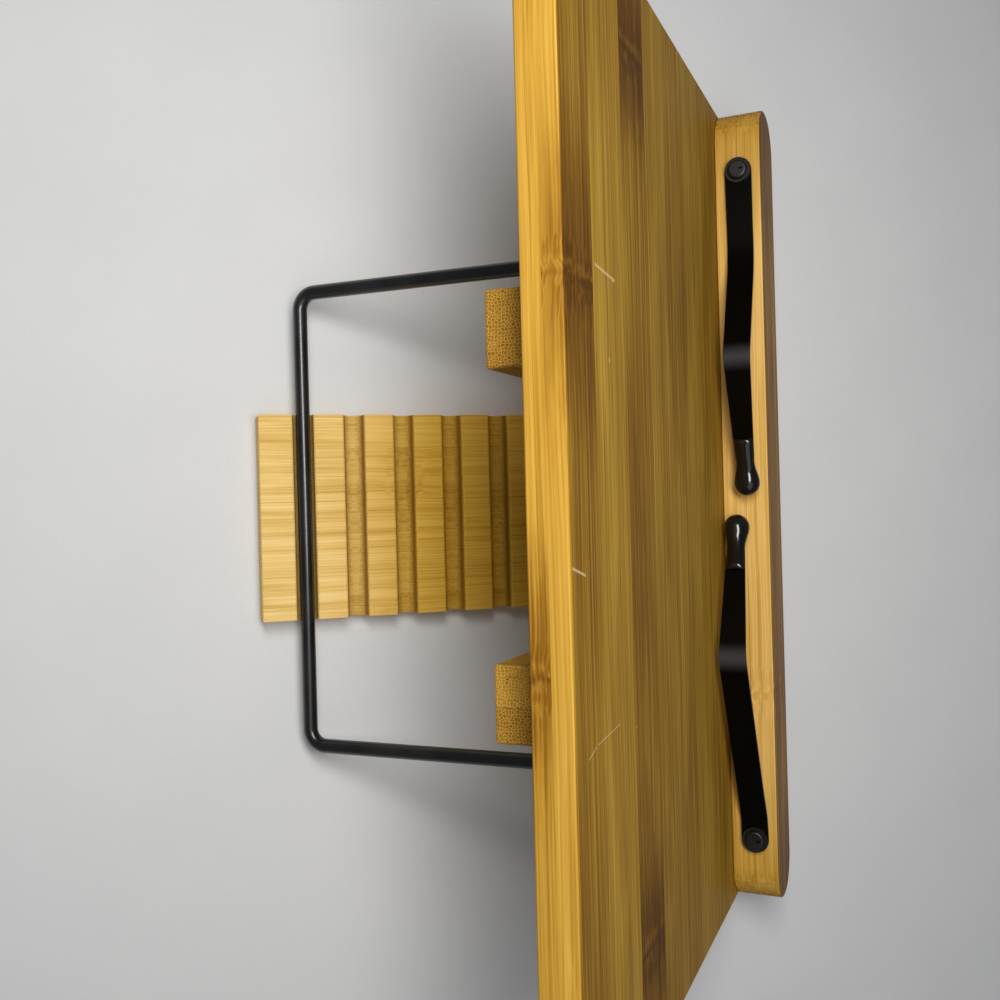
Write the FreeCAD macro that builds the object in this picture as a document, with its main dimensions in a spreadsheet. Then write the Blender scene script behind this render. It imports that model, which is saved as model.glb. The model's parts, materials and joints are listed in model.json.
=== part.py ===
"""Folding bamboo stand for an open album or book: a reclined panel with a ledge and two page
clips, a grooved foot board hinged at its bottom edge, and a wire prop that hooks into the grooves.

Row frame: +Z up, -Y towards the reader, X across the panel.  The origin is at the centre of the
bounding box on the surface that the stand rests on.

Panel frame, used by every piece that is fixed to the panel: X across, Y back from the panel's
front face, Z up along the panel from its lower edge.
"""
import FreeCAD, Part
import Sketcher
import math
import os
from FreeCAD import Placement, Rotation, Vector

SIZES = (
    ("panel_length", 337.0, "across the stand"),
    ("panel_height", 225.0, "along the slope, ledge included"),
    ("panel_thick", 12.0, "laminated bamboo"),
    ("panel_corner", 15.0, "outline corners of the panel and of the ledge"),
    ("recline", 42.0, "degrees back from vertical, prop in the rearmost groove"),
    ("edge_ease", 0.8, "rounding of the wooden edges"),
    ("ledge_depth", 18.9, "out from the panel's front face"),
    ("ledge_height", 33.0, "along the panel"),
    ("batten_width", 22.0, "across"),
    ("batten_depth", 18.0, "out from the panel's back face"),
    ("batten_gap", 82.0, "clear width between the battens, for the folded foot board"),
    ("batten_drop", 18.0, "from the panel's top edge to the battens"),
    ("batten_lift", 0.7, "clearance of the battens' bevelled ends over the table"),
    ("rod_radius", 2.0, "hinge rod"),
    ("rod_back", 7.5, "rod axis behind the panel's back face"),
    ("rod_inset", 0.5, "rod ends below the battens' outer faces"),
    ("running_gap", 0.07, "radial clearance of everything that turns"),
    ("board_width", 80.0, "foot board across"),
    ("board_thick", 12.0, "foot board"),
    ("board_reach", 187.5, "rod axis to the foot board's rear end"),
    ("groove_width", 8.0, "round-nosed grooves for the prop"),
    ("groove_deep", 5.5, "below the foot board's top"),
    ("groove_pitch", 20.0, "groove to groove"),
    ("groove_first", 17.2, "rear end to the first groove's centre"),
    ("groove_count", 6.0, "grooves"),
    ("lip_ease", 1.0, "rounding of the groove edges"),
    ("wire_radius", 2.75, "prop wire"),
    ("wire_span", 176.0, "between the prop's leg centres"),
    ("wire_bend", 6.5, "centre-line radius of the prop's corners"),
    ("wire_bite", 12.0, "length of each prop end inside its batten"),
    ("wire_end_gap", 1.0, "between a centred prop's end and the bottom of its hole"),
    ("wire_slide", -0.9, "where the prop has slid to, within its end gaps"),
    ("pivot_up", 128.0, "prop axis above the panel's lower edge"),
    ("pivot_back", 9.0, "prop axis behind the panel's back face"),
    ("bar_height", 11.05, "prop bar's centre above the table"),
    ("clip_across", 140.0, "clip screws from the centre line"),
    ("clip_forward", 10.0, "clip screws in front of the panel's face"),
    ("clip_thick", 1.2, "spring steel strap"),
    ("clip_end", 5.5, "radius of the strap's screwed end"),
    ("clip_waist_at", 24.0, "screw to the narrow part"),
    ("clip_waist", 5.3, "half width there"),
    ("clip_crest_at", 80.0, "screw to the crest"),
    ("clip_crest", 5.4, "half width there"),
    ("clip_reach", 131.0, "screw to the strap's end"),
    ("clip_tip", 3.3, "half width at the strap's end"),
    ("clip_flat_left", 9.0, "flat part of the left strap beyond the screw"),
    ("clip_flat_right", 38.0, "flat part of the right strap beyond the screw"),
    ("clip_bend_left", 10.0, "bend radius at the end of the left strap's flat part"),
    ("clip_bend_right", 42.0, "bend radius at the end of the right strap's flat part"),
    ("clip_rise_left", 29.0, "crest height of the left strap"),
    ("clip_rise_right", 19.0, "crest height of the right strap"),
    ("clip_tip_height", 5.2, "height of the strap's end over its flat part"),
    ("clip_crest_round", 7.0, "inside bend radius at the crest"),
    ("clip_turn_left", 1.5, "degrees towards the panel"),
    ("clip_turn_right", -0.55, "degrees towards the panel"),
    ("tip_neck", 3.9, "radius of the dipped sleeve"),
    ("tip_sleeve", 19.0, "length of the sleeve over the strap"),
    ("tip_bulb", 5.3, "radius of the dipped bulb"),
    ("clip_screw_radius", 2.0, "shank"),
    ("clip_screw_bite", 14.0, "shank inside the ledge"),
    ("clip_head_radius", 5.25, "flanged pan head"),
    ("clip_head_flange", 1.0, "flange thickness"),
    ("clip_dome_radius", 4.1, "dome on the flange"),
    ("clip_dome_high", 1.5, "dome height"),
    ("clip_dome_round", 1.2, "rounding of the dome's rim"),
    ("recess_wide", 1.1, "cross recess slot width"),
    ("recess_long", 4.4, "cross recess slot length"),
    ("recess_deep", 1.5, "cross recess depth"),
    ("washer_radius", 4.6, "spacer washer under each strap"),
    ("washer_thick", 0.8, "spacer washer"),
    ("slip_gap", 0.1, "face clearance of the turning strap"),
    ("wood_screw_radius", 2.0, "shank of the wood screws"),
    ("wood_head_radius", 3.9, "countersunk head"),
    ("ledge_screw_up", 16.0, "ledge screws above the panel's lower edge"),
    ("ledge_screw_inner", 80.0, "inner ledge screws from the centre line"),
    ("ledge_screw_outer", 155.0, "outer ledge screws from the centre line"),
    ("ledge_screw_bite", 11.0, "shank inside the ledge"),
    ("batten_screw_low", 48.0, "lower batten screws above the panel's lower edge"),
    ("batten_screw_high", 182.0, "upper batten screws above the panel's lower edge"),
    ("batten_screw_sink", 5.0, "head below the batten's back face"),
    ("batten_screw_bite", 8.0, "shank inside the panel"),
    ("blank_spare", 60.0, "how far the shapes that only trim others reach past them"),
)

doc = FreeCAD.newDocument("album_stand")
sheet = doc.addObject("Spreadsheet::Sheet", "Sizes")
for row, (alias, number, note) in enumerate(SIZES, start=1):
    sheet.set(f"A{row}", alias)
    sheet.set(f"B{row}", str(number))
    sheet.setAlias(f"B{row}", alias)
    sheet.set(f"C{row}", note)
doc.recompute()
size = {alias: number for alias, number, note in SIZES}

working = doc.addObject("Spreadsheet::Sheet", "Working")
X_AXIS = Vector(1, 0, 0)
Y_AXIS = Vector(0, 1, 0)
Z_AXIS = Vector(0, 0, 1)
AXES = {"x": X_AXIS, "y": Y_AXIS, "z": Z_AXIS}


def value(expression):
    """The number that an expression over the sheet's aliases gives now."""
    working.set("A1", "=" + expression)
    working.recompute()
    return float(working.get("A1"))


def bind(thing, prop, expression):
    thing.setExpression(prop, str(expression))


def body(name):
    new = doc.addObject("PartDesign::Body", name)
    new.Label = name
    return new


def primitive(owner, kind, name, at=("0", "0", "0"), turn=None, **sizes):
    """A PartDesign primitive with its sizes and its place bound to the sheet."""
    feature = owner.newObject("PartDesign::" + kind, name)
    if turn:
        feature.Placement = Placement(Vector(), Rotation(*turn))
    for prop, expression in sizes.items():
        bind(feature, prop, expression)
    for axis, expression in zip("xyz", at):
        bind(feature, "Placement.Base." + axis, expression)
    return feature


def cylinder(owner, name, at, axis, radius, length, cut=False):
    """A cylinder that runs from `at` along +axis."""
    turn = {"x": (Y_AXIS, 90), "y": (X_AXIS, -90), "z": None}[axis]
    kind = "SubtractiveCylinder" if cut else "AdditiveCylinder"
    return primitive(owner, kind, name, at, turn, Radius=radius, Height=length)


def block(owner, name, at, length, width, height, cut=False):
    kind = "SubtractiveBox" if cut else "AdditiveBox"
    return primitive(owner, kind, name, at, None, Length=length, Width=width, Height=height)


def edge_names(feature, wanted):
    """Names of the edges of a feature's shape that the test accepts."""
    return [f"Edge{index}" for index, edge in enumerate(feature.Shape.Edges, start=1) if wanted(edge)]


def fillet(owner, name, base, wanted, radius):
    doc.recompute()
    feature = owner.newObject("PartDesign::Fillet", name)
    feature.Base = (base, edge_names(base, wanted))
    bind(feature, "Radius", radius)
    return feature


def straight(edge, axis):
    """True for a straight edge parallel to a frame axis."""
    if edge.Curve.TypeId != "Part::GeomLine":
        return False
    return abs(abs(edge.Curve.Direction.dot(AXES[axis])) - 1) < 1e-6


def spans(edge, axis, low, high, slack=1e-3):
    box = edge.BoundBox
    lowest = {"x": box.XMin, "y": box.YMin, "z": box.ZMin}[axis]
    highest = {"x": box.XMax, "y": box.YMax, "z": box.ZMax}[axis]
    return abs(lowest - low) < slack and abs(highest - high) < slack


def at_ends(edge, axis, positions, slack=1e-3):
    """True for an edge that lies in one of the planes across an axis."""
    return any(spans(edge, axis, place, place, slack) for place in positions)


# ---------------------------------------------------------------- frames of the stand
recline = math.radians(size["recline"])
corner_loss = size["edge_ease"] * (math.sin(recline) + math.cos(recline) - 1)
panel_lift = size["panel_thick"] * math.sin(recline) - corner_loss


def row_point(across, back, up):
    """A panel-frame point in the row frame, before the row is centred on its box."""
    return Vector(
        across,
        back * math.cos(recline) + up * math.sin(recline),
        panel_lift - back * math.sin(recline) + up * math.cos(recline),
    )


rod_y = size["panel_thick"] + size["rod_back"]
rod_z = (size["board_thick"] / 2 - panel_lift + rod_y * math.sin(recline)) / math.cos(recline)
rod_axis = row_point(0, rod_y, rod_z)
row_rear = rod_axis.y + size["board_reach"]
ledge_corner = row_point(0, size["edge_ease"] - size["ledge_depth"], size["edge_ease"])
row_front = ledge_corner.y - size["edge_ease"]
centring = Vector(0, -(row_front + row_rear) / 2, 0)

panel_place = Placement(row_point(0, 0, 0) + centring, Rotation(X_AXIS, -size["recline"]))
board_place = Placement(rod_axis + centring, Rotation())

pivot = row_point(0, size["panel_thick"] + size["pivot_back"], size["pivot_up"])
bar = Vector(0, row_rear - size["groove_first"], size["bar_height"])
wire_length = pivot.distanceToPoint(bar)
wire_drop = math.degrees(math.atan2(pivot.z - bar.z, bar.y - pivot.y))
wire_place = Placement(
    pivot + centring + Vector(size["wire_slide"], 0, 0), Rotation(X_AXIS, -wire_drop))

# The prop's length and the rod's place follow from the sizes above, and join them on the sheet.
FOLLOWING = (
    ("wire_length", wire_length, "pivot axis to the bar's centre"),
    ("rod_place_back", rod_y, "rod axis behind the panel's front face"),
    ("rod_place_up", rod_z, "rod axis above the panel's lower edge"),
)
for row, (alias, number, note) in enumerate(FOLLOWING, start=len(SIZES) + 1):
    sheet.set(f"A{row}", alias)
    sheet.set(f"B{row}", f"{number:.4f}")
    sheet.setAlias(f"B{row}", alias)
    sheet.set(f"C{row}", note)
doc.recompute()


# ---------------------------------------------------------------- back panel
def plank(name, width, height, depth_from, depth):
    """A board standing in the panel frame, with rounded outline corners and eased edges."""
    owner = body(name)
    slab = block(owner, name + "_block", (f"-{width} / 2", depth_from, "0"), width, depth, height)
    corners = fillet(owner, name + "_corners", slab, lambda e: straight(e, "y"), "Sizes.panel_corner")
    faces = (value(depth_from), value(depth_from) + value(depth))
    fillet(owner, name + "_eased", corners, lambda e: at_ends(e, "y", faces), "Sizes.edge_ease")
    return owner


panel = plank("back_panel", "Sizes.panel_length", "Sizes.panel_height", "0", "Sizes.panel_thick")

LEDGE_SCREWS = (
    "-Sizes.ledge_screw_outer", "-Sizes.ledge_screw_inner",
    "Sizes.ledge_screw_inner", "Sizes.ledge_screw_outer")
BATTEN_CENTRE = "(Sizes.batten_gap + Sizes.batten_width) / 2"
BATTEN_SCREWS = tuple(
    (f"{side}{BATTEN_CENTRE}", level)
    for side in ("-", "")
    for level in ("Sizes.batten_screw_low", "Sizes.batten_screw_high"))
HEAD_HIGH = "(Sizes.wood_head_radius - Sizes.wood_screw_radius)"

for number, across in enumerate(LEDGE_SCREWS, start=1):
    cylinder(
        panel, f"ledge_screw_hole_{number}", (across, "0", "Sizes.ledge_screw_up"), "y",
        "Sizes.wood_screw_radius", "Sizes.panel_thick", cut=True)
    primitive(
        panel, "SubtractiveCone", f"ledge_screw_sink_{number}",
        (across, f"Sizes.panel_thick - {HEAD_HIGH}", "Sizes.ledge_screw_up"), (X_AXIS, -90),
        Radius1="Sizes.wood_screw_radius", Radius2="Sizes.wood_head_radius", Height=HEAD_HIGH)
for number, (across, level) in enumerate(BATTEN_SCREWS, start=1):
    cylinder(
        panel, f"batten_screw_hole_{number}",
        (across, "Sizes.panel_thick - Sizes.batten_screw_bite", level), "y",
        "Sizes.wood_screw_radius", "Sizes.batten_screw_bite", cut=True)

# ---------------------------------------------------------------- ledge
ledge = plank(
    "ledge", "Sizes.panel_length", "Sizes.ledge_height", "-Sizes.ledge_depth", "Sizes.ledge_depth")
for number, across in enumerate(LEDGE_SCREWS, start=1):
    cylinder(
        ledge, f"ledge_screw_pilot_{number}",
        (across, "-Sizes.ledge_screw_bite", "Sizes.ledge_screw_up"), "y",
        "Sizes.wood_screw_radius", "Sizes.ledge_screw_bite", cut=True)
for side, sign in (("left", "-"), ("right", "")):
    cylinder(
        ledge, f"clip_screw_pilot_{side}",
        (f"{sign}Sizes.clip_across", "-Sizes.clip_forward", "Sizes.ledge_height - Sizes.clip_screw_bite"),
        "z", "Sizes.clip_screw_radius", "Sizes.clip_screw_bite", cut=True)


# ---------------------------------------------------------------- wood screws
CROSS = (("Sizes.recess_long", "Sizes.recess_wide"), ("Sizes.recess_wide", "Sizes.recess_long"))


def countersunk_screw(owner, name, across, level, head_face, length):
    """A wood screw that points at the reader, its flat head's face at `head_face`."""
    cylinder(
        owner, name + "_shank", (across, f"{head_face} - {length}", level), "y",
        "Sizes.wood_screw_radius", length)
    primitive(
        owner, "AdditiveCone", name + "_head",
        (across, f"{head_face} - {HEAD_HIGH}", level), (X_AXIS, -90),
        Radius1="Sizes.wood_screw_radius", Radius2="Sizes.wood_head_radius", Height=HEAD_HIGH)
    for slot, (wide, high) in enumerate(CROSS, start=1):
        block(
            owner, f"{name}_slot_{slot}",
            (f"{across} - {wide} / 2", f"{head_face} - Sizes.recess_deep", f"{level} - {high} / 2"),
            wide, "Sizes.recess_deep", high, cut=True)


def screw_group(name, screws):
    """Identical screws as separate solids of one node."""
    made = []
    for number, (across, level, head_face, length) in enumerate(screws, start=1):
        owner = body(f"{name}_{number}")
        countersunk_screw(owner, f"{name}_{number}", across, level, head_face, length)
        made.append(owner)
    group = doc.addObject("Part::Compound", name)
    group.Label = name
    group.Links = made
    return group


ledge_screws = screw_group("ledge_screws", [
    (across, "Sizes.ledge_screw_up", "Sizes.panel_thick", "(Sizes.panel_thick + Sizes.ledge_screw_bite)")
    for across in LEDGE_SCREWS])
BATTEN_HEAD_FACE = "(Sizes.panel_thick + Sizes.batten_depth - Sizes.batten_screw_sink)"
BATTEN_SCREW_LONG = "(Sizes.batten_depth - Sizes.batten_screw_sink + Sizes.batten_screw_bite)"
batten_screws = screw_group("batten_screws", [
    (across, level, BATTEN_HEAD_FACE, BATTEN_SCREW_LONG) for across, level in BATTEN_SCREWS])


# ---------------------------------------------------------------- battens
# Their lower ends are cut parallel to the table, by a block whose top face lies in that cut.  The
# block starts half a spare length in front of the panel's back face and reaches one below the cut.
BEVEL_BACK = ("Sizes.panel_thick + Sizes.blank_spare"
              " * (sin(Sizes.recline) - cos(Sizes.recline) / 2)")
BEVEL_UP = ("Sizes.batten_lift - Sizes.blank_spare"
            " * (cos(Sizes.recline) + sin(Sizes.recline) / 2)")


def batten(name, sign, screws):
    owner = body(name)
    inner = "Sizes.batten_gap / 2"
    start = inner if sign > 0 else f"-({inner} + Sizes.batten_width)"
    top = "(Sizes.panel_height - Sizes.batten_drop)"
    block(
        owner, name + "_block", (start, "Sizes.panel_thick", "0"),
        "Sizes.batten_width", "Sizes.batten_depth", top)
    bevel = primitive(
        owner, "SubtractiveBox", name + "_bevel",
        ("-Sizes.panel_length / 2", BEVEL_BACK, BEVEL_UP), (X_AXIS, size["recline"]),
        Length="Sizes.panel_length", Width="2 * Sizes.blank_spare", Height="Sizes.blank_spare")
    doc.recompute()
    back_face = value("Sizes.panel_thick + Sizes.batten_depth")
    top_face = value(top)
    fillet(
        owner, name + "_eased", bevel,
        lambda e: at_ends(e, "y", (back_face,)) or at_ends(e, "z", (top_face,)), "Sizes.edge_ease")
    rod_start = start if sign > 0 else f"{start} + Sizes.rod_inset"
    cylinder(
        owner, name + "_rod_hole", (rod_start, "Sizes.rod_place_back", "Sizes.rod_place_up"), "x",
        "Sizes.rod_radius", "Sizes.batten_width - Sizes.rod_inset", cut=True)
    outer = f"({inner} + Sizes.batten_width)"
    bite = "(Sizes.wire_bite + Sizes.wire_end_gap)"
    pivot_start = f"{outer} - {bite}" if sign > 0 else f"-{outer}"
    cylinder(
        owner, name + "_prop_hole",
        (pivot_start, "Sizes.panel_thick + Sizes.pivot_back", "Sizes.pivot_up"), "x",
        "Sizes.wire_radius + Sizes.running_gap", bite, cut=True)
    for number, (across, level) in enumerate(screws, start=1):
        cylinder(
            owner, f"{name}_screw_hole_{number}", (across, "Sizes.panel_thick", level), "y",
            "Sizes.wood_screw_radius", "Sizes.batten_depth", cut=True)
        primitive(
            owner, "SubtractiveCone", f"{name}_screw_seat_{number}",
            (across, f"{BATTEN_HEAD_FACE} - {HEAD_HIGH}", level), (X_AXIS, -90),
            Radius1="Sizes.wood_screw_radius", Radius2="Sizes.wood_head_radius", Height=HEAD_HIGH)
        cylinder(
            owner, f"{name}_screw_bore_{number}", (across, BATTEN_HEAD_FACE, level), "y",
            "Sizes.wood_head_radius", "Sizes.batten_screw_sink", cut=True)
    return owner


batten_left = batten("batten_left", -1, BATTEN_SCREWS[:2])
batten_right = batten("batten_right", 1, BATTEN_SCREWS[2:])

# ---------------------------------------------------------------- hinge rod
hinge_rod = body("hinge_rod")
ROD_HALF = "(Sizes.batten_gap / 2 + Sizes.batten_width - Sizes.rod_inset)"
cylinder(
    hinge_rod, "hinge_rod_bar", (f"-{ROD_HALF}", "Sizes.rod_place_back", "Sizes.rod_place_up"), "x",
    "Sizes.rod_radius", f"2 * {ROD_HALF}")

# ---------------------------------------------------------------- foot board
# Its own frame: origin on the rod axis, +Y to the rear end, +Z up.
foot_board = body("foot_board")
BOARD_HALF = "Sizes.board_width / 2"
BOARD_TOP = "Sizes.board_thick / 2"
cylinder(foot_board, "board_nose", (f"-{BOARD_HALF}", "0", "0"), "x", BOARD_TOP, "Sizes.board_width")
board_plank = block(
    foot_board, "board_plank", (f"-{BOARD_HALF}", "0", f"-{BOARD_TOP}"),
    "Sizes.board_width", "Sizes.board_reach", "Sizes.board_thick")
rear_end = size["board_reach"]
last_cut = fillet(
    foot_board, "board_eased", board_plank,
    lambda e: at_ends(e, "y", (rear_end,)), "Sizes.edge_ease")
groove_lines = []
for number in range(int(size["groove_count"])):
    centre = f"Sizes.board_reach - Sizes.groove_first - {number} * Sizes.groove_pitch"
    groove_lines.append(value(centre))
    floor_level = f"{BOARD_TOP} - Sizes.groove_deep + Sizes.groove_width / 2"
    cylinder(
        foot_board, f"groove_round_{number + 1}", (f"-{BOARD_HALF}", centre, floor_level), "x",
        "Sizes.groove_width / 2", "Sizes.board_width", cut=True)
    last_cut = block(
        foot_board, f"groove_walls_{number + 1}",
        (f"-{BOARD_HALF}", f"{centre} - Sizes.groove_width / 2", floor_level),
        "Sizes.board_width", "Sizes.groove_width", "Sizes.groove_deep", cut=True)
doc.recompute()
lip_places = [line + step * size["groove_width"] / 2 for line in groove_lines for step in (-1, 1)]
board_top = size["board_thick"] / 2
fillet(
    foot_board, "groove_lips", last_cut,
    lambda e: straight(e, "x") and at_ends(e, "z", (board_top,)) and at_ends(e, "y", lip_places),
    "Sizes.lip_ease")
cylinder(
    foot_board, "board_bore", (f"-{BOARD_HALF}", "0", "0"), "x",
    "Sizes.rod_radius + Sizes.running_gap", "Sizes.board_width", cut=True)

# ---------------------------------------------------------------- prop wire
# Its own frame: origin on the pivot axis, +Y along the legs to the bar.
def wire_run(name, at, axis, length):
    run = doc.addObject("Part::Cylinder", name)
    bind(run, "Radius", "Sizes.wire_radius")
    bind(run, "Height", length)
    if axis == "x":
        run.Placement = Placement(Vector(), Rotation(Y_AXIS, 90))
    else:
        run.Placement = Placement(Vector(), Rotation(X_AXIS, -90))
    for letter, expression in zip("xyz", at):
        bind(run, "Placement.Base." + letter, expression)
    return run


def wire_corner(name, at, quarter):
    """A quarter ring in the wire's plane, starting `quarter` quarter turns from +X."""
    corner = doc.addObject("Part::Torus", name)
    bind(corner, "Radius1", "Sizes.wire_bend")
    bind(corner, "Radius2", "Sizes.wire_radius")
    corner.Angle3 = 90
    corner.Placement = Placement(Vector(), Rotation(Z_AXIS, 90 * quarter))
    for letter, expression in zip("xyz", at):
        bind(corner, "Placement.Base." + letter, expression)
    return corner


LEG = "Sizes.wire_span / 2"
LEG_IN = "(Sizes.wire_span / 2 - Sizes.wire_bend)"
TIP_IN = "(Sizes.batten_gap / 2 + Sizes.batten_width - Sizes.wire_bite)"
wire_pieces = [wire_run("wire_bar", (f"-{LEG_IN}", "Sizes.wire_length", "0"), "x", f"2 * {LEG_IN}")]
for side, sign in (("left", "-"), ("right", "")):
    wire_pieces.append(wire_run(
        f"wire_leg_{side}", (f"{sign}{LEG}", "Sizes.wire_bend", "0"), "y",
        "Sizes.wire_length - 2 * Sizes.wire_bend"))
    wire_pieces.append(wire_run(
        f"wire_end_{side}", (f"-{LEG_IN}" if sign else TIP_IN, "0", "0"), "x", f"{LEG_IN} - {TIP_IN}"))
    wire_pieces.append(wire_corner(
        f"wire_low_corner_{side}", (f"{sign}{LEG_IN}", "Sizes.wire_length - Sizes.wire_bend", "0"),
        1 if sign else 0))
    wire_pieces.append(wire_corner(
        f"wire_top_corner_{side}", (f"{sign}{LEG_IN}", "Sizes.wire_bend", "0"), 2 if sign else 3))
prop_wire = doc.addObject("Part::MultiFuse", "prop_wire")
prop_wire.Label = "prop_wire"
prop_wire.Shapes = wire_pieces


# ---------------------------------------------------------------- page clips
# Each clip's own frame: origin on its screw's axis, at the underside of the strap's flat end,
# +X along the strap, +Z up from the ledge.
def polygon(name, plane_turn, corners):
    """A closed outline whose corner coordinates are bound to the sheet."""
    sketch = doc.addObject("Sketcher::SketchObject", name)
    sketch.Placement = Placement(Vector(), plane_turn)
    points = [Vector(value(across), value(up), 0) for across, up in corners]
    count = len(points)
    for index in range(count):
        sketch.addGeometry(Part.LineSegment(points[index], points[(index + 1) % count]), False)
    for index in range(count):
        sketch.addConstraint(Sketcher.Constraint("Coincident", index, 2, (index + 1) % count, 1))
    for index, (across, up) in enumerate(corners):
        for kind, expression, place in (
                ("DistanceX", across, points[index].x), ("DistanceY", up, points[index].y)):
            number = sketch.addConstraint(Sketcher.Constraint(kind, -1, 1, index, 1, place))
            bind(sketch, f"Constraints[{number}]", expression)
    return sketch


def extrude(name, sketch, along, length, centred=False):
    solid = doc.addObject("Part::Extrusion", name)
    solid.Base = sketch
    solid.DirMode = "Custom"
    solid.Dir = along
    bind(solid, "LengthFwd", length)
    solid.Solid = True
    solid.Symmetric = centred
    return solid


def clip_strap(name, rise, flat, bend):
    """A bent flat strap: its side profile pulled across, trimmed to its outline, and drilled."""
    bottom = [
        ("-Sizes.clip_end", "0"), (flat, "0"),
        ("Sizes.clip_crest_at", rise), ("Sizes.clip_reach", "Sizes.clip_tip_height")]
    top = [(across, f"{up} + Sizes.clip_thick") for across, up in reversed(bottom)]
    profile = polygon(name + "_profile", Rotation(X_AXIS, 90), bottom + top)
    pulled = extrude(name + "_pulled", profile, Y_AXIS, "Sizes.blank_spare", centred=True)
    doc.recompute()
    thick = size["clip_thick"]
    bends = (  # place along the strap, height of the edge on the inside of the bend, its radius
        (size["clip_crest_at"], value(rise), size["clip_crest_round"]),
        (value(flat), thick, value(bend)))
    rounds = []
    for index, edge in enumerate(pulled.Shape.Edges, start=1):
        for along, inner_height, inner_radius in bends:
            if straight(edge, "y") and at_ends(edge, "x", (along,)):
                inner = at_ends(edge, "z", (inner_height,))
                radius = inner_radius if inner else inner_radius + thick
                rounds.append((index, radius, radius))
    bent = doc.addObject("Part::Fillet", name + "_bent")
    bent.Base = pulled
    bent.Edges = rounds
    outline = polygon(name + "_outline", Rotation(), [
        ("0", "-Sizes.clip_end"), ("Sizes.clip_waist_at", "-Sizes.clip_waist"),
        ("Sizes.clip_crest_at", "-Sizes.clip_crest"), ("Sizes.clip_reach", "-Sizes.clip_tip"),
        ("Sizes.clip_reach", "Sizes.clip_tip"), ("Sizes.clip_crest_at", "Sizes.clip_crest"),
        ("Sizes.clip_waist_at", "Sizes.clip_waist"), ("0", "Sizes.clip_end")])
    blade = extrude(name + "_blade", outline, Z_AXIS, "Sizes.blank_spare")
    eye = doc.addObject("Part::Cylinder", name + "_eye")
    bind(eye, "Radius", "Sizes.clip_end")
    bind(eye, "Height", "Sizes.clip_thick")
    plan = doc.addObject("Part::MultiFuse", name + "_plan")
    plan.Shapes = [blade, eye]
    trimmed = doc.addObject("Part::MultiCommon", name + "_trimmed")
    trimmed.Shapes = [bent, plan]
    hole = doc.addObject("Part::Cylinder", name + "_hole")
    bind(hole, "Radius", "Sizes.clip_screw_radius + Sizes.running_gap")
    bind(hole, "Height", "Sizes.clip_thick")
    strap = doc.addObject("Part::Cut", name)
    strap.Label = name
    strap.Base = trimmed
    strap.Tool = hole
    return strap, trimmed


def clip_tip(name, blade, rise):
    """A dipped plastic sleeve with a bulb on the strap's end."""
    run = value("Sizes.clip_reach - Sizes.clip_crest_at")
    fall = value(f"{rise} - Sizes.clip_tip_height")
    slope = math.degrees(math.atan2(fall, run))
    middle = Vector(size["clip_reach"], 0, size["clip_tip_height"] + size["clip_thick"] / 2)
    sleeve = doc.addObject("Part::Cylinder", name + "_sleeve")
    bind(sleeve, "Radius", "Sizes.tip_neck")
    bind(sleeve, "Height", "Sizes.tip_sleeve")
    sleeve.Placement = Placement(middle, Rotation(Y_AXIS, slope - 90))
    bulb = doc.addObject("Part::Sphere", name + "_bulb")
    bind(bulb, "Radius", "Sizes.tip_bulb")
    bulb.Placement = Placement(middle, Rotation())
    dipped = doc.addObject("Part::MultiFuse", name + "_dipped")
    dipped.Shapes = [sleeve, bulb]
    tip = doc.addObject("Part::Cut", name)
    tip.Label = name
    tip.Base = dipped
    tip.Tool = blade
    return tip


def clip_place(sign, turn):
    """Where a clip's own frame sits in the row frame."""
    up = size["ledge_height"] + size["washer_thick"] + size["slip_gap"]
    heading = turn if sign < 0 else 180 - turn
    here = Placement(
        Vector(sign * size["clip_across"], -size["clip_forward"], up), Rotation(Z_AXIS, heading))
    return panel_place * here


def clip_screw(name, sign):
    """A flanged pan-head screw through the strap and washer into the ledge."""
    owner = body(name)
    across = f"{'-' if sign < 0 else ''}Sizes.clip_across"
    forward = "-Sizes.clip_forward"
    under_head = "(Sizes.ledge_height + Sizes.washer_thick + 2 * Sizes.slip_gap + Sizes.clip_thick)"
    top = f"({under_head} + Sizes.clip_head_flange + Sizes.clip_dome_high)"
    foot = "(Sizes.ledge_height - Sizes.clip_screw_bite)"
    cylinder(
        owner, name + "_shank", (across, forward, foot), "z",
        "Sizes.clip_screw_radius", f"{under_head} - {foot}")
    cylinder(
        owner, name + "_flange", (across, forward, under_head), "z",
        "Sizes.clip_head_radius", "Sizes.clip_head_flange")
    dome = cylinder(
        owner, name + "_dome", (across, forward, f"{under_head} + Sizes.clip_head_flange"), "z",
        "Sizes.clip_dome_radius", "Sizes.clip_dome_high")
    top_face = value(top)
    fillet(
        owner, name + "_round", dome, lambda e: at_ends(e, "z", (top_face,)), "Sizes.clip_dome_round")
    for slot, (wide, long) in enumerate(CROSS, start=1):
        block(
            owner, f"{name}_slot_{slot}",
            (f"{across} - {wide} / 2", f"{forward} - {long} / 2", f"{top} - Sizes.recess_deep"),
            wide, "Sizes.recess_deep", long, cut=True)
    return owner


def clip_washer(name, sign):
    owner = body(name)
    across = f"{'-' if sign < 0 else ''}Sizes.clip_across"
    place = (across, "-Sizes.clip_forward", "Sizes.ledge_height")
    cylinder(owner, name + "_disc", place, "z", "Sizes.washer_radius", "Sizes.washer_thick")
    cylinder(
        owner, name + "_hole", place, "z", "Sizes.clip_screw_radius", "Sizes.washer_thick", cut=True)
    return owner


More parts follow.
